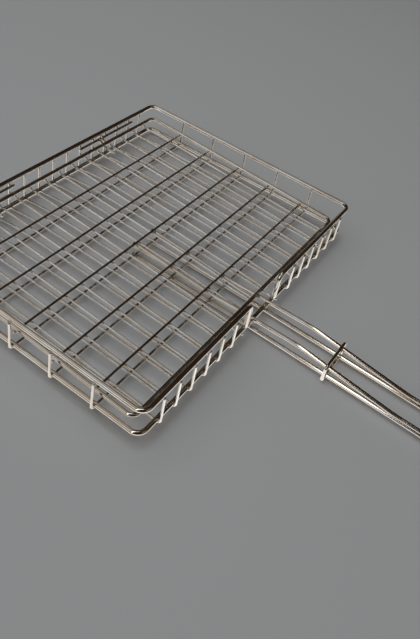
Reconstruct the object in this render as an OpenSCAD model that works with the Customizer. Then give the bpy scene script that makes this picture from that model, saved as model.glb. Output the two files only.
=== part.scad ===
// Hinged wire grill basket: a shallow open tray of bent and welded stainless
// wire, a wire-mesh lid that hangs on rungs at the back by two hooks, a long
// two-rod handle on each, and a wire ring that slides along the handle and
// holds the two handles together.
// Frame: origin at the middle of the tray, on the plane that the handle rods
// under the floor rest on; +Z up, -Y towards the handle, +Y towards the hinge.
// All sizes in millimetres.

/* [Tray] */
// Width of the tray between the centre lines of the rim rod
tray_width = 362; // [358:1:368]
// Depth of the tray between the centre lines of the rim rod
tray_depth = 278; // [274:1:284]
// Height from the centre of the bottom rod to the centre of the rim rod
wall_height = 31.6; // [31:0.2:36]
// Corner bend of the rim and bottom rods, at the centre line
corner_bend = 8.5; // [7:0.5:12]
// Half width of the gap in the front rim that the lid handle drops through
gap_half = 26; // [24:0.5:30]

/* [Wire sizes] */
// Diameter of the rim rod and the bottom rod
rim_d = 4.5; // [4:0.1:4.6]
// Diameter of the wires that run across the handle direction
cross_d = 2.5; // [2.3:0.1:2.7]
// Diameter of the close-set long wires
long_d = 2.2; // [1.8:0.1:2.4]
// Diameter of the lid frame rod
lid_rod_d = 4; // [3.6:0.1:4.2]
// Diameter of the handle rods
handle_d = 4; // [3.6:0.1:4.2]
// Diameter of the rungs, the hooks and the locking ring
small_d = 3; // [2.8:0.1:3.2]

/* [Mesh] */
// Spacing of the long wires
pitch = 21; // [20.5:0.1:21.4]
// Spacing of the five cross wires in the floor
floor_cross_pitch = 45.8; // [44:0.2:47]
// Spacing of the five cross wires in the lid
lid_cross_pitch = 43.8; // [42:0.2:45]

/* [Hinge] */
// Height of the upper rung above the centre of the bottom rod
upper_rung = 23.7; // [23:0.1:24.2]
// Height of the lower rung above the centre of the bottom rod
lower_rung = 13.8; // [12:0.2:15]
// Distance of each hook from the middle
hook_x = 84; // [82:0.5:86]
// Slack between a hook and its rung
hook_slack = 0.35; // [0.2:0.05:0.45]

/* [Lid] */
// Half width of the lid frame, at the centre line
lid_half = 174.5; // [170:0.5:175]
// Slope of the closed lid, down towards the handle, in degrees
lid_tilt = 2.4; // [2.2:0.1:2.6]

/* [Handle] */
// Half the distance between the two rods of a handle
handle_half = 14.6; // [14:0.1:16]
// Length of the tray handle in front of the rim
handle_out = 300; // [280:5:330]
// How much shorter the lid handle is than the tray handle
handle_step = 38; // [30:1:45]
// Distance of the locking ring in front of the rim
ring_at = 82; // [80:1:84]

/* [Hidden] */
$fn = 48;

// gap left at each weld between two wires that touch
wg = 0.05;
rr = rim_d / 2;
rc = cross_d / 2;
rt = long_d / 2;
r2 = lid_rod_d / 2;
rh = handle_d / 2;
rs = small_d / 2;
hw = tray_width / 2;
hd = tray_depth / 2;
inset = 1.25;

// heights of the layers of the tray, from the handle rods up
z_handle = rh;
z_cross = z_handle + rh + rc + wg;
z_bottom = z_cross + rc + rr + wg;
z_long = z_cross + rc + rt + wg;
z_rim = z_bottom + wall_height;
// plan position of the bottom rod and of the upright legs
bx = hw - inset;
by = hd - inset;
hug_c = rr + rc + wg;
hug_t = rr + rt + wg;
leg_x = bx + hug_c;
leg_y = by + hug_t;
leg_top = z_rim - sqrt(rr * rr - pow(leg_y - rt - hd, 2)) - wg;

// hinge axis
hinge_y = leg_y - rt - rs - wg;
hinge_z = z_bottom + upper_rung;

// closed lid: its own frame has its origin at the middle of the frame rod's
// back bar and slopes down by lid_tilt towards the handle
lid_y = hinge_y - 6.2;
lid_z = hinge_z - 4.6;
ct = cos(lid_tilt);
st = sin(lid_tilt);
// a point of the side view, in the lid's own frame
function to_lid(y, z) = [(y - lid_y) * ct + (z - lid_z) * st, -(y - lid_y) * st + (z - lid_z) * ct];
lid_len = (lid_y + hd - 12.4) / ct;
zl_cross = -(r2 + rc + wg);
zl_long = zl_cross - rc - rt - wg;
zl_handle = zl_cross - rc - rh - wg;
first_lid_cross = -43.4;

// handle slope in front of the rim
drop = 0.02;
function tray_handle_z(y) = z_handle - drop * (-hd - y);

function unit(v) = v / norm(v);
// one end of a rod that runs round the corner q, between p and s, with bend r
function bend_t(p, q, s, r) = r * tan(acos(min(1, max(-1, unit(q - p) * unit(s - q)))) / 2);

// straight round rod from a to b
module straight(a, b, r) {
  d = b - a;
  l = norm(d);
  if (l > 0.01)
    translate(a) rotate([0, acos(d[2] / l), atan2(d[1], d[0])]) cylinder(h = l, r = r);
}

// bent round rod in the corner q
module elbow(p, q, s, r, bend) {
  u = unit(q - p);
  v = unit(s - q);
  c = cross(u, v);
  n = unit(c);
  w = cross(n, u);
  phi = atan2(norm(c), u * v);
  t = bend * tan(phi / 2);
  o = q - t * u + bend * w;
  x = -w;
  // turns that carry the local axes onto x, u and n
  g = norm([u[2], n[2]]) < 0.00001;
  rx = g ? atan2(x[2] < 0 ? u[0] : -u[0], u[1]) : atan2(u[2], n[2]);
  ry = g ? (x[2] < 0 ? 90 : -90) : atan2(-x[2], norm([u[2], n[2]]));
  rz = g ? 0 : atan2(x[1], x[0]);
  translate(o) rotate([rx, ry, rz]) rotate_extrude(angle = phi, $fn = bend > 40 ? 720 : 96)
    translate([bend, 0]) circle(r = r, $fn = 48);
}

// thin band over the place where a straight runs into a bend
module band(c, d, r) translate(c) rotate([0, acos(d[2]), atan2(d[1], d[0])])
  translate([0, 0, -0.15]) cylinder(h = 0.3, r = r + 0.015);

// round rod along the points p with one bend radius per point that has a bend;
// a closed rod bends at every point
module rod(p, r, bends, closed = false) {
  n = len(p);
  k = closed ? n : n - 1;
  function at(i) = p[(i + n) % n];
  function has(i) = closed || (i > 0 && i < n - 1);
  function rad(i) = closed ? bends[(i + n) % n] : bends[i - 1];
  function cut(i) = has(i) ? bend_t(at(i - 1), at(i), at(i + 1), rad(i)) : 0;
  union() {
    for (i = [0 : k - 1]) {
      u = unit(at(i + 1) - at(i));
      a = at(i) + u * cut(i);
      b = at(i + 1) - u * cut(i + 1);
      straight(a, b, r);
      if (has(i) && norm(b - a) > 0.01) band(a, u, r);
      if (has(i + 1)) band(b, u, r);
    }
    for (i = [(closed ? 0 : 1) : (closed ? n - 1 : n - 2)]) elbow(at(i - 1), at(i), at(i + 1), r, rad(i));
  }
}

// closed rectangular ring of round rod in the plane z = 0
module ring(x, y0, y1, r, bend)
  rod([[x, y0, 0], [x, y1, 0], [-x, y1, 0], [-x, y0, 0]], r, [bend, bend, bend, bend], true);

module in_lid() translate([0, lid_y, lid_z]) rotate([lid_tilt, 0, 0]) children();

steel = [0.74, 0.73, 0.71];
bright = [0.82, 0.81, 0.79];
dark = [0.6, 0.59, 0.57];

// one thick rod bent round the top of the tray; its two ends turn down at the
// gap and stand on the bottom rod
module tray_rim_rod() color(bright)
  rod([[gap_half, -hd, z_bottom + rr + wg], [gap_half, -hd, z_rim], [hw, -hd, z_rim], [hw, hd, z_rim],
       [-hw, hd, z_rim], [-hw, -hd, z_rim], [-gap_half, -hd, z_rim], [-gap_half, -hd, z_bottom + rr + wg]],
      rr, [6, corner_bend, corner_bend, corner_bend, corner_bend, 6]);

// thick rod round the foot of the walls, laid inside the upright legs
module tray_bottom_rod() color(bright)
  translate([0, 0, z_bottom]) ring(bx, -by, by, rr, corner_bend);

// floor cross wire: under the bottom rod at both sides and up to the rim
module floor_cross_wire(i) color(dark) {
  y = (i - 3) * floor_cross_pitch;
  rod([[leg_x, y, leg_top], [leg_x, y, z_cross], [-leg_x, y, z_cross], [-leg_x, y, leg_top]], rc, [hug_c, hug_c]);
}

// floor long wire: laid over the cross wires, dipping under the bottom rod at
// both ends; the four in the middle have no front leg, because the lid handle
// passes there
module floor_long_wire(i) color(steel) {
  x = (i - 8.5) * pitch;
  zf = z_bottom - hug_t;
  dip = 26;
  short = abs(x) < 2 * pitch;
  tail = [[x, leg_y, leg_top], [x, leg_y, zf], [x, by - 5, zf], [x, by - dip, z_long]];
  if (short)
    rod(concat(tail, [[x, -by + dip, z_long], [x, -by + 5, zf], [x, -by - 3, zf]]), rt, [hug_t, 20, 20, 20, 20]);
  else
    rod(concat(tail, [[x, -by + dip, z_long], [x, -by + 5, zf], [x, -leg_y, zf], [x, -leg_y, leg_top]]),
        rt, [hug_t, 20, 20, 20, 20, hug_t]);
}

// short rung welded across five back legs
module hinge_rung(side, z) color(steel)
  straight([side * 2.3 * pitch, hinge_y, z_bottom + z], [side * 6.7 * pitch, hinge_y, z_bottom + z], rs);

// long U rod welded under the floor; the closed end is the grip
module tray_handle_rod() color(bright) {
  x = handle_half;
  e = -hd - handle_out;
  rod([[x, 5, z_handle], [x, -hd, z_handle], [x, e, tray_handle_z(e)], [-x, e, tray_handle_z(e)],
       [-x, -hd, z_handle], [-x, 5, z_handle]], rh, [60, x, x, 60]);
}

// lid frame, a closed ring of rod
module lid_frame_rod() color(bright)
  in_lid() ring(lid_half, -lid_len, 0, r2, 7);

// lid cross wire, welded under the frame
module lid_cross_wire(i) color(dark) {
  y = first_lid_cross - (5 - i) * lid_cross_pitch;
  in_lid() straight([-lid_half - 3, y, zl_cross], [lid_half + 3, y, zl_cross], rc);
}

// lid long wire, under the cross wires, its ends turned up to the frame
module lid_long_wire(i) color(steel) {
  x = (i - 8.5) * pitch;
  in_lid() rod([[x, 0, -r2 - wg], [x, 0, zl_long], [x, -lid_len, zl_long], [x, -lid_len, -r2 - wg]], rt, [2.2, 2.2]);
}

// hook welded under the back of the lid frame and curled round the upper rung
module hinge_hook(side) color(steel) {
  c = to_lid(hinge_y, hinge_z);
  k = r2 + rs + wg;
  bend = rs + rs + hook_slack;
  a = atan2(c[1], c[0]) + asin((k - bend) / norm(c));
  e = c + bend * [sin(a), -cos(a)];
  x = side * hook_x;
  in_lid() union() {
    rod([[x, -16, -k], [x, k * tan(a / 2), -k], [x, e[0], e[1]]], rs, [k]);
    band([x, e[0], e[1]], [0, cos(a), sin(a)], rs);
    translate([x, c[0], c[1]]) rotate([90, 0, 90]) rotate([0, 0, a - 90])
      rotate_extrude(angle = 240, $fn = 96) translate([bend, 0]) circle(r = rs, $fn = 48);
  }
}

// points of the lid handle in the side view, given in the tray's frame
lh = [[-hd + 28, 14.0], [-by, z_bottom + rr + rh + 0.15], [-hd - 50, 14.6], [-hd - 152, tray_handle_z(-hd - 152) + 2 * rh + 0.1]];
lh_end = -hd - handle_out + handle_step;
module lid_handle_rod() color(bright) {
  x = handle_half;
  p0 = to_lid(6, 0)[0];
  under = [-lid_len, -(r2 + rh + wg)];
  q1 = [-lid_len + 28, zl_handle];
  q2 = to_lid(lh[2][0], lh[2][1]);
  q3 = to_lid(lh[3][0], lh[3][1]);
  q4 = to_lid(lh_end, tray_handle_z(lh_end) + 2 * rh + 0.1);
  // side-view points from the grip end to the tail under the third cross wire
  s = [[p0, zl_handle], q1, under, q2, q3, q4];
  in_lid() rod([[x, s[0][0], s[0][1]], [x, s[1][0], s[1][1]], [x, s[2][0], s[2][1]], [x, s[3][0], s[3][1]],
                [x, s[4][0], s[4][1]], [x, s[5][0], s[5][1]],
                [-x, s[5][0], s[5][1]], [-x, s[4][0], s[4][1]], [-x, s[3][0], s[3][1]], [-x, s[2][0], s[2][1]],
                [-x, s[1][0], s[1][1]], [-x, s[0][0], s[0][1]]],
               rh, [80, 60, 120, 120, x, x, 120, 120, 60, 80]);
}

// closed wire ring round both handles
module locking_ring() color(bright) {
  y = -hd - ring_at;
  zb = tray_handle_z(y) - rh - rs - 0.25;
  // height of the lid handle rod at the ring, on the straight between its two soft bends
  f = (y - lh[2][0]) / (lh[3][0] - lh[2][0]);
  zt = lh[2][1] + f * (lh[3][1] - lh[2][1]) + rh + rs + 0.35;
  x = handle_half + rh + rs + 1.6;
  translate([0, y, 0]) rod([[x, 0, zb], [x, 0, zt], [-x, 0, zt], [-x, 0, zb]], rs, [3, 3, 3, 3], true);
}

tray_rim_rod();
tray_bottom_rod();
floor_cross_wire(1);  // floor_cross_wire_1
floor_cross_wire(2);  // floor_cross_wire_2
floor_cross_wire(3);  // floor_cross_wire_3
floor_cross_wire(4);  // floor_cross_wire_4
floor_cross_wire(5);  // floor_cross_wire_5
floor_long_wire(1);  // floor_long_wire_01
floor_long_wire(2);  // floor_long_wire_02
floor_long_wire(3);  // floor_long_wire_03
floor_long_wire(4);  // floor_long_wire_04
floor_long_wire(5);  // floor_long_wire_05
floor_long_wire(6);  // floor_long_wire_06
floor_long_wire(7);  // floor_long_wire_07
floor_long_wire(8);  // floor_long_wire_08
floor_long_wire(9);  // floor_long_wire_09
floor_long_wire(10);  // floor_long_wire_10
floor_long_wire(11);  // floor_long_wire_11
floor_long_wire(12);  // floor_long_wire_12
floor_long_wire(13);  // floor_long_wire_13
floor_long_wire(14);  // floor_long_wire_14
floor_long_wire(15);  // floor_long_wire_15
floor_long_wire(16);  // floor_long_wire_16
hinge_rung(-1, upper_rung);  // hinge_rung_upper_left
hinge_rung(1, upper_rung);  // hinge_rung_upper_right
hinge_rung(-1, lower_rung);  // hinge_rung_lower_left
hinge_rung(1, lower_rung);  // hinge_rung_lower_right
tray_handle_rod();
lid_frame_rod();
lid_cross_wire(1);  // lid_cross_wire_1
lid_cross_wire(2);  // lid_cross_wire_2
lid_cross_wire(3);  // lid_cross_wire_3
lid_cross_wire(4);  // lid_cross_wire_4
lid_cross_wire(5);  // lid_cross_wire_5
lid_long_wire(1);  // lid_long_wire_01
lid_long_wire(2);  // lid_long_wire_02
lid_long_wire(3);  // lid_long_wire_03
lid_long_wire(4);  // lid_long_wire_04
lid_long_wire(5);  // lid_long_wire_05
lid_long_wire(6);  // lid_long_wire_06
lid_long_wire(7);  // lid_long_wire_07
lid_long_wire(8);  // lid_long_wire_08
lid_long_wire(9);  // lid_long_wire_09
lid_long_wire(10);  // lid_long_wire_10
lid_long_wire(11);  // lid_long_wire_11
lid_long_wire(12);  // lid_long_wire_12
lid_long_wire(13);  // lid_long_wire_13
lid_long_wire(14);  // lid_long_wire_14
lid_long_wire(15);  // lid_long_wire_15
lid_long_wire(16);  // lid_long_wire_16
hinge_hook(-1);  // hinge_hook_left
hinge_hook(1);  // hinge_hook_right
lid_handle_rod();
locking_ring();
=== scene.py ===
# Hinged wire grill basket: a tray and a lid of welded wire, two long looped handles
# and a ring that slides along them. X runs across the basket, the hinge is at +Y, the
# handles point to -Y and Z is up. The underside of the tray handle is at z = 0 under
# the basket. The lid leans a little about X and has its own frame.
import math
import bpy
import numpy as np
from mathutils import Matrix, Vector


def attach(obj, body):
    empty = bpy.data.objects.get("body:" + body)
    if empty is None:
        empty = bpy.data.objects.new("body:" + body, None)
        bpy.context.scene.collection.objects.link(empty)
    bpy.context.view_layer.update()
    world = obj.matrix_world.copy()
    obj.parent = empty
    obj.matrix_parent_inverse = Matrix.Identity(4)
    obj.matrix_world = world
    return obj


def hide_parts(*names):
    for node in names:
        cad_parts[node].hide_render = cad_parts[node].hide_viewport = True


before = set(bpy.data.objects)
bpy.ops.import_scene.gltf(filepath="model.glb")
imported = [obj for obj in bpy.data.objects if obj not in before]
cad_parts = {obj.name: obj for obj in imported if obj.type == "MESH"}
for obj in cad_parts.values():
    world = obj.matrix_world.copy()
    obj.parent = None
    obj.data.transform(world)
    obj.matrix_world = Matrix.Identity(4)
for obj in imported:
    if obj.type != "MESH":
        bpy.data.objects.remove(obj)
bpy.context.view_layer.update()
scene = bpy.context.scene
MM = 0.001

# ---------------------------------------------------------------- sizes (mm)
# wire radii
RIM_R = 2.25           # tray rim and tray bottom rod
CROSS_R = 1.25         # wires along x
LONG_R = 1.1           # wires along y
LID_R = 2.0            # lid frame rod
HANDLE_R = 2.0
SMALL_R = 1.5          # hinge rungs, hinge hooks, locking ring
GAP = 0.05             # left between touching wires

# tray, on wire centre lines
RIM_X, RIM_Y = 181.0, 139.0
BOTTOM_X, BOTTOM_Y = RIM_X - 1.25, RIM_Y - 1.25
RIM_GAP_X = 26.0       # half the opening of the rim rod at the handle end
CORNER_BEND = 8.5
Z_HANDLE = HANDLE_R
Z_CROSS = Z_HANDLE + HANDLE_R + CROSS_R + GAP
Z_BOTTOM = Z_CROSS + CROSS_R + RIM_R + GAP
Z_LONG = Z_CROSS + CROSS_R + LONG_R + GAP
Z_RIM = Z_BOTTOM + 31.6
# distance at which a wire hugs the bottom rod, and the upright legs it gives
HUG_CROSS = RIM_R + CROSS_R + GAP
HUG_LONG = RIM_R + LONG_R + GAP
LEG_X, LEG_Y = BOTTOM_X + HUG_CROSS, BOTTOM_Y + HUG_LONG
LEG_TOP = Z_RIM - math.sqrt(RIM_R ** 2 - (LEG_Y - LONG_R - RIM_Y) ** 2) - GAP
Z_LONG_UNDER = Z_BOTTOM - HUG_LONG

# wire spacing, tray and lid
PITCH = 21.0
LONG_X = [(j - 8.5) * PITCH for j in range(1, 17)]
TRAY_CROSS_Y = [(i - 3) * 45.8 for i in range(1, 6)]
LID_CROSS_Y = [-43.4 - (5 - i) * 43.8 for i in range(1, 6)]

# hinge
HINGE_Y = LEG_Y - LONG_R - SMALL_R - GAP
HINGE_Z = Z_BOTTOM + 23.7
LOW_RUNG_Z = Z_BOTTOM + 13.8
HOOK_X = 84.0
HOOK_START_Y = -16     # in the lid's frame

# lid: its frame starts at the middle of its hinge-side rod
LID_Y, LID_Z = HINGE_Y - 6.2, HINGE_Z - 4.6
TILT = math.radians(2.4)
COS, SIN = math.cos(TILT), math.sin(TILT)
LID_X = 174.5
LID_LENGTH = (LID_Y + RIM_Y - 12.4) / COS
ZL_CROSS = -(LID_R + CROSS_R + GAP)
ZL_LONG = ZL_CROSS - CROSS_R - LONG_R - GAP
ZL_HANDLE = ZL_CROSS - CROSS_R - HANDLE_R - GAP
ZL_UNDER_FRAME = -LID_R - GAP

# handles
HANDLE_X = 14.6        # half width, also the bend radius of the looped end
HANDLE_DROP = 0.02     # fall per mm beyond the basket
TRAY_HANDLE_END = -RIM_Y - 300
LID_HANDLE_END = TRAY_HANDLE_END + 38
LID_KNEE_Y, LID_KNEE_Z = -RIM_Y - 50, 14.6
LID_REST_Y = -RIM_Y - 152    # from here on the lid handle lies on the tray handle
RING_Y = -RIM_Y - 82

# Half sizes of the weld nuggets along x, y, z of their body.
WELD_SIZE = {
    "crossing": (0.75 * LONG_R + 0.22, 0.75 * CROSS_R + 0.12, 0.55 * LONG_R),
    "rim_end": (RIM_R * 1.12, RIM_R * 1.05, 1.1),
    "cross_leg_top": (CROSS_R * 1.05, CROSS_R * 1.15, 0.9),
    "cross_under_rod": (1.4, 1.5, 0.9),
    "cross_beside_rod": (0.7, 1.2, 1.7),
    "long_leg_top": (LONG_R * 1.2, LONG_R * 1.05, 0.8),
    "long_under_rod": (1.1, 1.5, 0.6),
    "long_beside_rod": (0.9, 0.5, 1.4),
    "rung": (1.3, 0.7, 1.4),
    "handle_on_cross": (1.5, 1.6, 0.9),
    "lid_cross_end": (1.5, 1.5, 0.8),
    "lid_long_end": (1.3, 1.4, 0.7),
    "hook": (1.4, 1.8, 0.9),
    "handle_on_lid_frame": (1.7, 1.7, 0.9),
}

# Axes (as rows) and origin of each body's frame.
UPRIGHT = (np.eye(3), np.zeros(3))
BODY_FRAME = {
    "tray": UPRIGHT,
    "ring": UPRIGHT,
    "lid": (np.array([[1, 0, 0], [0, COS, SIN], [0, -SIN, COS]]), np.array([0, LID_Y, LID_Z])),
}


def from_body(body, points):
    """Points of a body's frame, in the basket's frame."""
    axes, origin = BODY_FRAME[body]
    return np.array(points, float) @ axes + origin


def to_lid(y, z):
    """(y, z) of the basket's frame, in the lid's frame."""
    return (y - LID_Y) * COS + (z - LID_Z) * SIN, -(y - LID_Y) * SIN + (z - LID_Z) * COS


def tray_handle_z(y):
    return Z_HANDLE - HANDLE_DROP * (-RIM_Y - y)


def lid_handle_z(y):
    """Height of the lid handle where it lies on the tray handle."""
    return tray_handle_z(y) + 2 * HANDLE_R + 0.1


# ------------------------------------------------------------ wire geometry
def centre_line(points, bends, closed=False, step=3.0):
    """Sampled centre line through points, with one bend radius per corner."""
    points = [np.array(p, float) for p in points]
    count = len(points)
    corners = {}    # index: samples of the bend

    def unit(vector):
        return vector / np.linalg.norm(vector)

    corner_ids = range(count) if closed else range(1, count - 1)
    for i, radius in zip(corner_ids, bends):
        corner = points[i]
        ahead = unit(corner - points[i - 1])
        after = unit(points[(i + 1) % count] - corner)
        angle = math.acos(max(-1, min(1, float(ahead @ after))))
        if angle < 1e-6:
            corners[i] = [corner]
            continue
        inward = np.cross(unit(np.cross(ahead, after)), ahead)
        centre = corner - radius * math.tan(angle / 2) * ahead + radius * inward
        steps = max(3, int(math.ceil(angle / math.radians(6))))
        turns = [angle * j / steps for j in range(steps + 1)]
        corners[i] = [centre + radius * (-inward * math.cos(t) + ahead * math.sin(t))
                      for t in turns]

    samples = []
    for i in range(count if closed else count - 1):
        j = (i + 1) % count
        start = corners[i][-1] if i in corners else points[i]
        end = corners[j][0] if j in corners else points[j]
        length = np.linalg.norm(end - start)
        if length > 0.02:
            steps = max(1, int(round(length / step)))
            samples += [start + (end - start) * k / steps for k in range(steps + 1)]
        else:
            samples.append(start)
        if j in corners:
            samples += corners[j][1:]

    line = [samples[0]]
    for point in samples[1:]:
        if np.linalg.norm(point - line[-1]) > 1e-3:
            line.append(point)
    if closed and np.linalg.norm(line[0] - line[-1]) < 1e-2:
        line.pop()
    return np.array(line)


def distances(line):
    """Distance along the line at each point."""
    return np.concatenate([[0], np.cumsum(np.linalg.norm(np.diff(line, axis=0), axis=1))])


def name_seed(name):
    seed = 17
    for letter in name:
        seed = (seed * 31 + ord(letter)) % 1000003
    return seed


def wobble(line, amount, seed):
    """Tiny waviness of drawn wire, zero at both ends."""
    if amount <= 0:
        return line
    rng = np.random.default_rng(seed)
    along = distances(line)
    length = along[-1]
    offset = np.zeros_like(line)
    for axis in range(3):
        for wave in range(2, 7):
            offset[:, axis] += rng.normal() * np.sin(math.pi * wave * along / length) / wave
    fade = np.clip(np.minimum(along, length - along) / 20.0, 0, 1)[:, None]
    return line + amount * offset * fade


def link_object(name, data):
    ob = bpy.data.objects.new(name, data)
    scene.collection.objects.link(ob)
    return ob


def smooth_object(name, verts, faces, uvs=None):
    """Smooth-shaded mesh object from vertices in mm."""
    mesh = bpy.data.meshes.new(name)
    mesh.from_pydata((verts * MM).tolist(), [], faces)
    if uvs:
        layer = mesh.uv_layers.new(name="wire")
        layer.data.foreach_set("uv", np.array(uvs, np.float32).ravel())
    mesh.polygons.foreach_set("use_smooth", [True] * len(mesh.polygons))
    mesh.update()
    return link_object(name, mesh)


# A cut end is rounded: distance from the tip (mm), share of the full radius.
CUT_END = np.array([(0.0, 0.62), (0.0672, 0.86), (0.252, 0.985)])
CUT_END_LENGTH = 0.672


def tube(name, line, radius, segments, closed):
    """Mesh swept along a line; UV u runs along the wire in metres and v round it."""
    if closed:
        tangents = np.roll(line, -1, 0) - np.roll(line, 1, 0)
    else:
        tangents = np.gradient(line, axis=0)
    tangents /= np.linalg.norm(tangents, axis=1)[:, None]
    radii = np.full(len(line), radius)
    along = distances(line)
    if not closed:
        inset, share = CUT_END[:, :1], CUT_END[:, 1]
        keep = (along > CUT_END_LENGTH) & (along < along[-1] - CUT_END_LENGTH)
        radii = np.concatenate([radius * share, radii[keep], radius * share[::-1]])
        line = np.concatenate([line[0] + inset * tangents[0], line[keep],
                               line[-1] - inset[::-1] * tangents[-1]])
        tangents = np.concatenate([[tangents[0]] * 3, tangents[keep], [tangents[-1]] * 3])
        along = distances(line)
    count = len(line)

    # one side direction, carried along the wire without twisting
    def square_to(vector, tangent):
        flat = vector - tangent * (vector @ tangent)
        return flat / np.linalg.norm(flat)

    reference = np.array([0, 0, 1.0] if abs(tangents[0][2]) < 0.9 else [0, 1.0, 0])
    side = np.zeros_like(line)
    side[0] = square_to(reference, tangents[0])
    for i in range(1, count):
        side[i] = square_to(side[i - 1], tangents[i])
    other_side = np.cross(tangents, side)
    twist = np.zeros(count)
    if closed:
        # spread the mismatch at the seam over the whole loop
        last = square_to(side[-1], tangents[0])
        mismatch = math.atan2(last @ np.cross(tangents[0], side[0]), last @ side[0])
        twist = -mismatch * np.arange(count) / count

    turn = np.linspace(0, 2 * math.pi, segments, endpoint=False)[None, :] + twist[:, None]
    around = (np.cos(turn)[..., None] * side[:, None, :]
              + np.sin(turn)[..., None] * other_side[:, None, :])
    verts = (line[:, None, :] + radii[:, None, None] * around).reshape(-1, 3)

    faces, uvs = [], []
    length = along[-1] + (np.linalg.norm(line[0] - line[-1]) if closed else 0)
    for i in range(count if closed else count - 1):
        j = (i + 1) % count
        u0, u1 = along[i] * MM, (along[j] if j else length) * MM
        for k in range(segments):
            q = (k + 1) % segments
            faces.append((i * segments + k, i * segments + q,
                          j * segments + q, j * segments + k))
            v0, v1 = k / segments, (k + 1) / segments
            uvs += [(u0, v0), (u0, v1), (u1, v1), (u1, v0)]
    if not closed:
        tip = len(verts)
        last_ring = (count - 1) * segments
        for k in range(segments):
            q = (k + 1) % segments
            faces += [(tip, q, k), (tip + 1, last_ring + k, last_ring + q)]
            uvs += [(u, v) for u in (0, length * MM) for v in (0.5, 0.2, 0.25)]
        verts = np.concatenate([verts, [line[0], line[-1]]])
    return smooth_object(name, verts, faces, uvs)


def weld_heat(ob, points, reach=3.2):
    """Point attribute "heat": 1 at a weld, falling off over the reach in mm."""
    places = np.zeros(len(ob.data.vertices) * 3, np.float32)
    ob.data.vertices.foreach_get("co", places)
    places = places.reshape(-1, 3) / MM
    heat = np.zeros(len(places))
    if points:
        gaps = places[:, None, :] - np.array(points)[None, :, :]
        heat = np.exp(-((np.linalg.norm(gaps, axis=2).min(1) / reach) ** 2))
    attribute = ob.data.attributes.new("heat", "FLOAT", "POINT")
    attribute.data.foreach_set("value", heat.astype(np.float32))


def weld_nuggets(body, sides=10, bands=7):
    """All nuggets of a body: one mesh of squashed, slightly uneven spheres."""
    sphere = [(0, 0, 1)]
    for i in range(1, bands):
        polar = math.pi * i / bands
        for k in range(sides):
            turn = 2 * math.pi * k / sides
            sphere.append((math.sin(polar) * math.cos(turn), math.sin(polar) * math.sin(turn),
                           math.cos(polar)))
    sphere = np.array(sphere + [(0, 0, -1)])
    last = len(sphere) - 1
    sphere_faces = [(0, 1 + k, 1 + (k + 1) % sides) for k in range(sides)]
    for i in range(bands - 2):
        for k in range(sides):
            a = 1 + i * sides + k
            b = 1 + i * sides + (k + 1) % sides
            sphere_faces.append((a, a + sides, b + sides, b))
    below = last - sides
    sphere_faces += [(last, below + (k + 1) % sides, below + k) for k in range(sides)]

    axes = BODY_FRAME[body][0]
    rng = np.random.default_rng(len(welds[body]) * 13 + 5)
    verts, faces = [], []
    for i, (centre, radii) in enumerate(welds[body]):
        uneven = 1 + rng.normal(0, 0.05, 3)
        skin = 1 + rng.normal(0, 0.025, len(sphere))
        verts.append(centre + (sphere * radii * uneven * skin[:, None]) @ axes)
        faces += [tuple(i * len(sphere) + v for v in face) for face in sphere_faces]
    return smooth_object(body + "_weld_nuggets", np.concatenate(verts), faces)


# ---------------------------------------------------------------- materials
def node(tree, kind, inputs=None, **settings):
    """New shader node; an input is given as a value or as the socket that feeds it."""
    new = tree.nodes.new("ShaderNode" + kind)
    for key, value in settings.items():
        setattr(new, key, value)
    connect(tree, new, inputs or {})
    return new


def connect(tree, target, inputs):
    for key, value in inputs.items():
        if isinstance(value, bpy.types.NodeSocket):
            tree.links.new(value, target.inputs[key])
        else:
            target.inputs[key].default_value = value


def colour_ramp(tree, factor, *stops):
    """Colour output of a ramp through stops of (position, rgb)."""
    ramp = node(tree, "ValToRGB", {"Fac": factor})
    elements = ramp.color_ramp.elements
    for element, (position, colour) in zip(elements, (stops[0], stops[-1])):
        element.position = position
        element.color = (*colour, 1)
    for position, colour in stops[1:-1]:
        elements.new(position).color = (*colour, 1)
    return ramp.outputs["Color"]


def map_range(tree, value, start, end, low, high, interpolation="LINEAR"):
    """Output that goes from low to high while value goes from start to end."""
    inputs = {"Value": value, "From Min": start, "From Max": end, "To Min": low, "To Max": high}
    return node(tree, "MapRange", inputs, interpolation_type=interpolation).outputs["Result"]


def multiply_colours(tree, factor, first, second):
    mix = node(tree, "Mix", data_type="RGBA", blend_type="MULTIPLY")
    connect(tree, mix, {0: factor, 6: first, 7: second})
    return mix.outputs[2]


def math_node(tree, operation, *values):
    return node(tree, "Math", dict(enumerate(values)), operation=operation).outputs[0]


def bump(tree, **inputs):
    return node(tree, "Bump", inputs).outputs["Normal"]


def new_material(name):
    material = bpy.data.materials.new(name)
    material.use_nodes = True
    tree = material.node_tree
    return material, tree, tree.nodes["Principled BSDF"]


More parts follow.
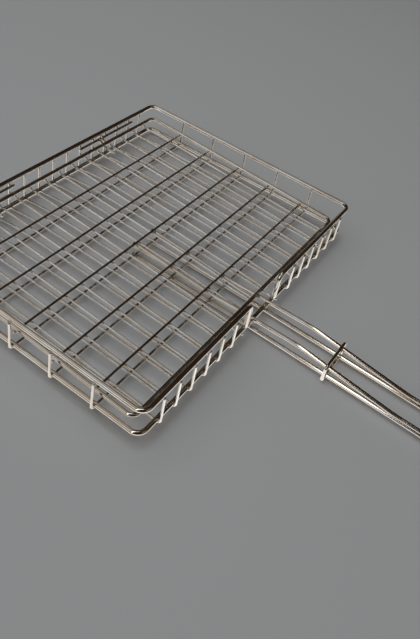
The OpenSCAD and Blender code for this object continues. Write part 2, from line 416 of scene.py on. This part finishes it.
def drawn_steel(name, bright, dark, smoothest, roughest):
    """Drawn wire steel with lengthwise streaks, stains and heat tint at the welds."""
    material, tree, shader = new_material(name)
    uv = node(tree, "UVMap", uv_map="wire").outputs["UV"]
    place = node(tree, "TexCoord").outputs["Object"]
    stretched = node(tree, "Mapping", {"Vector": uv, "Scale": (7, 26, 1)}).outputs["Vector"]
    streaks, stains, grain = [
        node(tree, "TexNoise", {"Vector": vector, "Scale": scale, "Detail": detail}).outputs["Fac"]
        for vector, scale, detail in ((stretched, 1.0, 3), (place, 38, 4), (place, 900, 2))]
    streak_colour = colour_ramp(tree, streaks, (0.34, dark), (0.62, bright))
    stain_colour = colour_ramp(tree, stains, (0.42, (0.86, 0.78, 0.68)), (0.60, (1, 1, 1)))
    stained = multiply_colours(tree, 0.8, streak_colour, stain_colour)
    heat = node(tree, "Attribute", attribute_name="heat").outputs["Fac"]
    # straw, then brown, then a little blue
    tint = colour_ramp(tree, heat, (0.0, (1, 1, 1)), (0.35, (0.95, 0.80, 0.55)),
                       (0.7, (0.55, 0.38, 0.26)), (1.0, (0.36, 0.33, 0.36)))
    colour = multiply_colours(tree, 0.38, stained, tint)
    polish = map_range(tree, streaks, start=0.3, end=0.7, low=smoothest, high=roughest)
    heat_roughness = 0.25
    roughness = math_node(tree, "MULTIPLY_ADD", heat, heat_roughness, polish)
    streaked = bump(tree, Strength=0.010, Distance=0.0003, Height=streaks)
    normal = bump(tree, Strength=0.004, Distance=0.0002, Height=grain, Normal=streaked)
    connect(tree, shader, {"Metallic": 1.0, "Base Color": colour, "Roughness": roughness,
                           "Normal": normal})
    return material


def weld_steel():
    """Mottled, rougher metal of the weld nuggets."""
    material, tree, shader = new_material("weld_nugget_steel")
    place = node(tree, "TexCoord").outputs["Object"]
    mottle = node(tree, "TexNoise", {"Vector": place, "Scale": 650, "Detail": 3}).outputs["Fac"]
    colour = colour_ramp(tree, mottle, (0.35, (0.42, 0.37, 0.32)), (0.65, (0.66, 0.62, 0.57)))
    roughness = map_range(tree, mottle, start=0, end=1, low=0.3, high=0.55)
    normal = bump(tree, Strength=0.4, Distance=0.0004, Height=mottle)
    connect(tree, shader, {"Metallic": 1.0, "Base Color": colour, "Roughness": roughness,
                           "Normal": normal})
    return material


# The cross wires get darker, warmer steel and the long wires lighter, greyer steel than the rods:
# painted shade on the wires along x and painted light on the wires along y, standing in for how
# the light falls on each
STEEL = {
    "rod": drawn_steel("polished_rod_steel", bright=(0.70, 0.675, 0.64),
                       dark=(0.52, 0.49, 0.455), smoothest=0.09, roughest=0.17),
    "cross_wire": drawn_steel("cross_wire_steel", bright=(0.62, 0.595, 0.56),
                              dark=(0.44, 0.41, 0.38), smoothest=0.11, roughest=0.20),
    "long_wire": drawn_steel("long_wire_steel", bright=(0.78, 0.775, 0.765),
                             dark=(0.60, 0.59, 0.575), smoothest=0.12, roughest=0.21),
}
WELD_STEEL = weld_steel()

# ------------------------------------------------------------------- pieces
pieces = []                       # (object, part name, body, slot)
welds = {"tray": [], "lid": []}   # (centre in the basket's frame, half sizes)


def add_wire(name, body, line, radius, slot="rod", segments=24, closed=False, waviness=0.0):
    """Wire along a line given in its body's frame."""
    line = wobble(from_body(body, line), waviness, name_seed(name))
    ob = tube("wire_" + name, line, radius, segments, closed)
    ob.data.materials.append(STEEL[slot])
    pieces.append((ob, name, body, slot))


def add_weld(body, kind, x, y, z):
    welds[body].append((from_body(body, [x, y, z]), WELD_SIZE[kind]))


def rectangle(half_x, y0, y1, z):
    return [[half_x, y0, z], [half_x, y1, z], [-half_x, y1, z], [-half_x, y0, z]]


def mirrored(half):
    """Points of the +x half, then the same points at -x in reverse."""
    return half + [[-x, y, z] for x, y, z in reversed(half)]


# ---------------------------------------------------------------- the tray
def tray_frame():
    """Rim rod, open at the handle end and turned down there, and closed bottom rod."""
    rim = mirrored([[RIM_GAP_X, -RIM_Y, Z_BOTTOM + RIM_R + GAP], [RIM_GAP_X, -RIM_Y, Z_RIM],
                    [RIM_X, -RIM_Y, Z_RIM], [RIM_X, RIM_Y, Z_RIM]])
    add_wire("tray_rim_rod", "tray", centre_line(rim, [6] + [CORNER_BEND] * 4 + [6]), RIM_R,
             waviness=0.12)
    bottom = rectangle(BOTTOM_X, -BOTTOM_Y, BOTTOM_Y, Z_BOTTOM)
    add_wire("tray_bottom_rod", "tray", centre_line(bottom, [CORNER_BEND] * 4, closed=True),
             RIM_R, closed=True)
    for side in (-1, 1):
        add_weld("tray", "rim_end", side * RIM_GAP_X, -RIM_Y + 0.6, Z_BOTTOM + RIM_R)


def tray_cross_wires():
    """Wires along x, bent up round the bottom rod to the rim."""
    for i, y in enumerate(TRAY_CROSS_Y, 1):
        path = mirrored([[LEG_X, y, LEG_TOP], [LEG_X, y, Z_CROSS]])
        add_wire(f"floor_cross_wire_{i}", "tray", centre_line(path, [HUG_CROSS] * 2), CROSS_R,
                 "cross_wire", segments=20, waviness=0.10)
        for side in (-1, 1):
            add_weld("tray", "cross_leg_top", side * (LEG_X - 0.75), y, LEG_TOP + 0.15)
            add_weld("tray", "cross_under_rod", side * (BOTTOM_X + 0.4), y, Z_CROSS + CROSS_R)
            add_weld("tray", "cross_beside_rod", side * (BOTTOM_X + RIM_R), y, Z_BOTTOM - 0.3)
        for x in LONG_X:
            add_weld("tray", "crossing", x, y, Z_CROSS + CROSS_R)


def tray_long_wires():
    """Wires along y on top of the cross wires, dipping under the bottom rod at both ends
    and rising to the rim. The middle four stop under the rod at the handle end."""
    dip_start, dip_end = BOTTOM_Y - 26, BOTTOM_Y - 5
    for j, x in enumerate(LONG_X, 1):
        path = [[x, LEG_Y, LEG_TOP], [x, LEG_Y, Z_LONG_UNDER], [x, dip_end, Z_LONG_UNDER],
                [x, dip_start, Z_LONG], [x, -dip_start, Z_LONG], [x, -dip_end, Z_LONG_UNDER]]
        bends = [HUG_LONG, 20, 20, 20, 20]
        if abs(x) < 2 * PITCH:
            path.append([x, -BOTTOM_Y - 3, Z_LONG_UNDER])
            legs = (1,)
        else:
            path += [[x, -LEG_Y, Z_LONG_UNDER], [x, -LEG_Y, LEG_TOP]]
            bends.append(HUG_LONG)
            legs = (-1, 1)
        for end in legs:
            add_weld("tray", "long_leg_top", x, end * (LEG_Y - 0.75), LEG_TOP + 0.1)
            add_weld("tray", "long_beside_rod", x, end * (BOTTOM_Y + RIM_R), Z_BOTTOM - 0.3)
        for end in (-1, 1):
            add_weld("tray", "long_under_rod", x, end * BOTTOM_Y, Z_BOTTOM - RIM_R)
        add_wire(f"floor_long_wire_{j:02d}", "tray", centre_line(path, bends), LONG_R,
                 "long_wire", segments=16, waviness=0.16)


def hinge_rungs():
    """Two short rods on each side, welded inside the legs at the hinge end."""
    for side, side_name in ((-1, "left"), (1, "right")):
        for z, level in ((HINGE_Z, "upper"), (LOW_RUNG_Z, "lower")):
            path = [[side * pitches * PITCH, HINGE_Y, z] for pitches in (2.3, 6.7)]
            add_wire(f"hinge_rung_{level}_{side_name}", "tray", centre_line(path, []), SMALL_R,
                     segments=20)
            for k in range(5):
                add_weld("tray", "rung", side * (2.5 + k) * PITCH, LEG_Y - LONG_R, z)


def tray_handle():
    path = mirrored([[HANDLE_X, 5, Z_HANDLE], [HANDLE_X, -RIM_Y, Z_HANDLE],
                     [HANDLE_X, TRAY_HANDLE_END, tray_handle_z(TRAY_HANDLE_END)]])
    add_wire("tray_handle_rod", "tray", centre_line(path, [60, HANDLE_X, HANDLE_X, 60]),
             HANDLE_R, waviness=0.12)
    for side in (-1, 1):
        for y in TRAY_CROSS_Y[:3]:
            add_weld("tray", "handle_on_cross", side * HANDLE_X, y, Z_CROSS - CROSS_R)


# ------------------------------------------------- the lid, in its own frame
def lid_frame():
    path = rectangle(LID_X, -LID_LENGTH, 0, 0)
    add_wire("lid_frame_rod", "lid", centre_line(path, [7] * 4, closed=True), LID_R, closed=True)


def lid_cross_wires():
    """Straight wires along x under the frame, a little longer than it is wide."""
    half = LID_X + 3
    for i, y in enumerate(LID_CROSS_Y, 1):
        path = [[-half, y, ZL_CROSS], [half, y, ZL_CROSS]]
        add_wire(f"lid_cross_wire_{i}", "lid", centre_line(path, []), CROSS_R, "cross_wire",
                 segments=20, waviness=0.14)
        for side in (-1, 1):
            add_weld("lid", "lid_cross_end", side * LID_X, y, -LID_R)
        for x in LONG_X:
            add_weld("lid", "crossing", x, y, ZL_CROSS - CROSS_R)


def lid_long_wires():
    """Wires along y under the cross wires, with ends turned up to the frame."""
    for j, x in enumerate(LONG_X, 1):
        path = [[x, 0, ZL_UNDER_FRAME], [x, 0, ZL_LONG], [x, -LID_LENGTH, ZL_LONG],
                [x, -LID_LENGTH, ZL_UNDER_FRAME]]
        add_wire(f"lid_long_wire_{j:02d}", "lid", centre_line(path, [2.2, 2.2]), LONG_R,
                 "long_wire", segments=16, waviness=0.2)
        for y in (0, -LID_LENGTH):
            add_weld("lid", "lid_long_end", x, y, -LID_R - 0.1)


def hinge_hooks():
    """Rods under the lid frame that rise to the upper rungs and curl round them."""
    hinge_y, hinge_z = to_lid(HINGE_Y, HINGE_Z)
    depth = LID_R + SMALL_R + GAP
    curl = 2 * SMALL_R + 0.35
    rise = (math.atan2(hinge_z, hinge_y)
            + math.asin((depth - curl) / math.hypot(hinge_y, hinge_z)))

    def around_hinge(x, angle):
        return [x, hinge_y + curl * math.cos(angle), hinge_z + curl * math.sin(angle)]

    start = rise - math.pi / 2
    for side, side_name in ((-1, "left"), (1, "right")):
        x = side * HOOK_X
        shank = [[x, HOOK_START_Y, -depth], [x, depth * math.tan(rise / 2), -depth],
                 around_hinge(x, start)]
        line = list(centre_line(shank, [depth], step=1.5))
        line += [around_hinge(x, start + math.radians(240) * s / 40) for s in range(1, 41)]
        add_wire("hinge_hook_" + side_name, "lid", line, SMALL_R, segments=20)
        add_weld("lid", "hook", x, 0, -LID_R)


def lid_handle():
    """Loop that runs under the lid, then comes down onto the tray handle."""
    profile = [    # y, z
        (to_lid(6, 0)[0], ZL_HANDLE),
        (-LID_LENGTH + 28, ZL_HANDLE),
        (-LID_LENGTH, -(LID_R + HANDLE_R + GAP)),
        to_lid(LID_KNEE_Y, LID_KNEE_Z),
        to_lid(LID_REST_Y, lid_handle_z(LID_REST_Y)),
        to_lid(LID_HANDLE_END, lid_handle_z(LID_HANDLE_END)),
    ]
    bends = [80, 60, 120, 120, HANDLE_X]
    path = mirrored([[HANDLE_X, y, z] for y, z in profile])
    add_wire("lid_handle_rod", "lid", centre_line(path, bends + bends[::-1]), HANDLE_R,
             waviness=0.12)
    for side in (-1, 1):
        for y in LID_CROSS_Y[:3]:
            add_weld("lid", "handle_on_cross", side * HANDLE_X, y, ZL_CROSS - CROSS_R)
        add_weld("lid", "handle_on_lid_frame", side * HANDLE_X, -LID_LENGTH, -LID_R)


def locking_ring():
    """Upright rectangular ring round both handles."""
    bottom = tray_handle_z(RING_Y) - HANDLE_R - SMALL_R - 0.25
    share = (RING_Y - LID_KNEE_Y) / (LID_REST_Y - LID_KNEE_Y)
    lid_rod_z = LID_KNEE_Z + share * (lid_handle_z(LID_REST_Y) - LID_KNEE_Z)
    top = lid_rod_z + HANDLE_R + SMALL_R + 0.35
    half = HANDLE_X + HANDLE_R + SMALL_R + 1.6
    path = mirrored([[half, RING_Y, bottom], [half, RING_Y, top]])
    add_wire("locking_ring", "ring", centre_line(path, [3] * 4, closed=True, step=1.5), SMALL_R,
             closed=True)


def hand_over():
    """Heat marks and bodies of all wires, then the nuggets of each body."""
    reach = 6
    for ob, name, body, slot in pieces:
        low = np.array(ob.bound_box).min(0) / MM - reach
        high = np.array(ob.bound_box).max(0) / MM + reach
        near = [centre for centre, _ in welds.get(body, [])
                if np.all(centre > low) and np.all(centre < high)]
        weld_heat(ob, near)
        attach(ob, body)
        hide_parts(name)
    for body in ("tray", "lid"):
        ob = weld_nuggets(body)
        ob.data.materials.append(WELD_STEEL)
        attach(ob, body)


tray_frame()
tray_cross_wires()
tray_long_wires()
hinge_rungs()
tray_handle()
lid_frame()
lid_cross_wires()
lid_long_wires()
hinge_hooks()
lid_handle()
locking_ring()
hand_over()


# ---------------------------------------------------------- stage (metres)
def floor_material():
    """Matt pale table. To glossy rays it is a glow instead, a painted reflection in the steel:
    bright from straight above, dark towards the horizon and far out, and painted shade under the
    basket."""
    material, tree, shader = new_material("pale_floor")
    grain = node(tree, "TexNoise", {"Scale": 260}).outputs["Fac"]
    normal = bump(tree, Strength=0.04, Height=grain)
    connect(tree, shader, {"Base Color": (0.415, 0.43, 0.447, 1), "Roughness": 0.9,
                           "Specular IOR Level": 0.0, "Normal": normal})
    # painted reflection: glossy rays see an emission, strongest where they come steeply down near
    # the basket
    glossy_ray = node(tree, "LightPath").outputs["Is Glossy Ray"]
    geometry = node(tree, "NewGeometry").outputs
    incoming = node(tree, "SeparateXYZ", {0: geometry["Incoming"]}).outputs
    steepness = map_range(tree, incoming["Z"], start=0.34, end=0.68, low=0.04, high=1.3,
                          interpolation="SMOOTHSTEP")
    distance = node(tree, "VectorMath", {0: geometry["Position"]}, operation="LENGTH")
    nearness = map_range(tree, distance.outputs["Value"], start=0.24, end=0.46, low=1.0,
                         high=0.38, interpolation="SMOOTHSTEP")
    painted_reflection_glow = math_node(tree, "MULTIPLY", steepness, nearness)
    position = node(tree, "SeparateXYZ", {0: geometry["Position"]}).outputs
    # painted shade: inside the rim's outline the reflected glow drops to about half
    outside = []
    for axis, half in (("X", RIM_X * MM), ("Y", RIM_Y * MM)):
        offset = math_node(tree, "ABSOLUTE", position[axis])
        outside.append(map_range(tree, offset, start=half - 0.014, end=half + 0.004, low=0.52,
                                 high=1.0, interpolation="SMOOTHSTEP"))
    shade = math_node(tree, "MAXIMUM", *outside)
    strength = math_node(tree, "MULTIPLY", painted_reflection_glow, shade)
    glow = node(tree, "Emission", {"Color": (1.0, 0.972, 0.93, 1), "Strength": strength})
    mix = node(tree, "MixShader", {0: glossy_ray, 1: shader.outputs["BSDF"],
                                   2: glow.outputs["Emission"]})
    connect(tree, tree.nodes["Material Output"], {"Surface": mix.outputs["Shader"]})
    material.cycles.emission_sampling = "NONE"
    return material


def add_floor():
    """Plane falling towards -y, just below the low side of the locking ring."""
    half, slope, level_y, clearance = 3.0, 0.02168, 0.005, 0.0002
    z_handles, z_hinge = [(y - level_y) * slope - clearance for y in (-half, half)]
    mesh = bpy.data.meshes.new("floor")
    corners = [(-half, -half, z_handles), (half, -half, z_handles),
               (half, half, z_hinge), (-half, half, z_hinge)]
    mesh.from_pydata(corners, [], [(0, 1, 2, 3)])
    floor = link_object("floor", mesh)
    floor.data.materials.append(floor_material())


# Soft bright patches of the studio: direction, angles from it in degrees of full and of
# no light, colour, strength.
STUDIO_PATCHES = [
    ((-0.82, 0.41, 0.40), 6, 28, (1.0, 0.985, 0.96), 1.15),    # on the camera's left
    ((0.0, 0.47, 0.88), 5, 30, (1.0, 0.995, 0.98), 0.65),      # high, on the hinge side
    ((0.91, 0.36, 0.20), 5, 23, (1.0, 0.95, 0.88), 0.40),      # low, on the +x side
    ((0.05, -0.93, 0.36), 5, 28, (1.0, 0.96, 0.90), 0.25),     # beyond the handles
]


def add_world():
    world = bpy.data.worlds.new("studio")
    scene.world = world
    world.use_nodes = True
    tree = world.node_tree
    view = node(tree, "TexCoord").outputs["Generated"]
    light = (0.030, 0.021, 0.014)    # dim warm room
    for direction, inner, outer, colour, strength in STUDIO_PATCHES:
        facing = node(tree, "VectorMath", {0: view, 1: Vector(direction).normalized()},
                      operation="DOT_PRODUCT").outputs["Value"]
        amount = map_range(tree, facing, start=math.cos(math.radians(outer)),
                           end=math.cos(math.radians(inner)), low=0, high=1,
                           interpolation="SMOOTHERSTEP")
        patch = node(tree, "VectorMath", operation="SCALE")
        connect(tree, patch, {0: tuple(c * strength for c in colour), "Scale": amount})
        light = node(tree, "VectorMath", {0: light, 1: patch.outputs["Vector"]},
                     operation="ADD").outputs["Vector"]
    studio = tree.nodes["Background"]
    connect(tree, studio, {"Color": light, "Strength": 1.0})
    # seen straight on, the studio is a plain pale backdrop
    backdrop = node(tree, "Background", {"Color": (0.235, 0.238, 0.243, 1)})
    camera_ray = node(tree, "LightPath").outputs["Is Camera Ray"]
    mix = node(tree, "MixShader", {0: camera_ray, 1: studio.outputs["Background"],
                                   2: backdrop.outputs["Background"]})
    connect(tree, tree.nodes["World Output"], {"Surface": mix.outputs["Shader"]})


def area_light(name, direction, distance, size, power, colour, target, glossy, diffuse):
    """Rectangular light at a distance from the target, facing it."""
    light = bpy.data.lights.new(name, "AREA")
    light.shape = "RECTANGLE"
    light.size, light.size_y = size
    light.energy = power
    light.color = colour
    ob = link_object(name, light)
    outward = Vector(direction).normalized()
    ob.location = Vector(target) + outward * distance
    ob.rotation_euler = (-outward).to_track_quat("-Z", "Y").to_euler()
    ob.visible_glossy = glossy
    ob.visible_diffuse = diffuse
    ob.visible_camera = False


def add_lights():
    # broad top light for the floor and the soft shadow, kept out of the reflections
    area_light("softbox_top", direction=(-0.15, 0.10, 1.0), distance=2.2, size=(2.6, 2.6),
               power=29, colour=(1.0, 0.995, 0.98), target=(0, -0.05, 0.02),
               glossy=False, diffuse=True)
    # strips square to the handle, for long highlights only
    for name, direction in (("strip_low", (-0.93, 0.0, 0.37)), ("strip_high", (-0.38, 0.0, 0.93))):
        area_light(name, direction, distance=1.5, size=(0.20, 1.5), power=3.0,
                   colour=(1.0, 0.98, 0.94), target=(0, -0.16, 0.0), glossy=True, diffuse=False)


def add_camera():
    camera = bpy.data.cameras.new("camera")
    camera.sensor_fit = "AUTO"
    camera.sensor_width = 36.0
    camera.lens = 38.79007845
    camera.shift_x = -0.00264273485
    camera.shift_y = -0.14608636624
    camera.clip_start = 0.01
    right = (0.5595239807186094, -0.81198822022249, 0.1661566887630907)
    up = (0.44772733324209746, 0.464826919565326, 0.7638561185952037)
    backward = (-0.6974762720471006, -0.35300292501241876, 0.6236311288445724)
    location = Vector((-447.26281689, -295.73238899, 475.16692905)) * MM
    ob = bpy.data.objects.new("camera", camera)
    turn = Matrix((right, up, backward)).transposed().to_4x4()
    ob.matrix_world = Matrix.Translation(location) @ turn
    scene.collection.objects.link(ob)
    scene.camera = ob


add_floor()
add_world()
add_lights()
scene.view_settings.view_transform = "Standard"
add_camera()
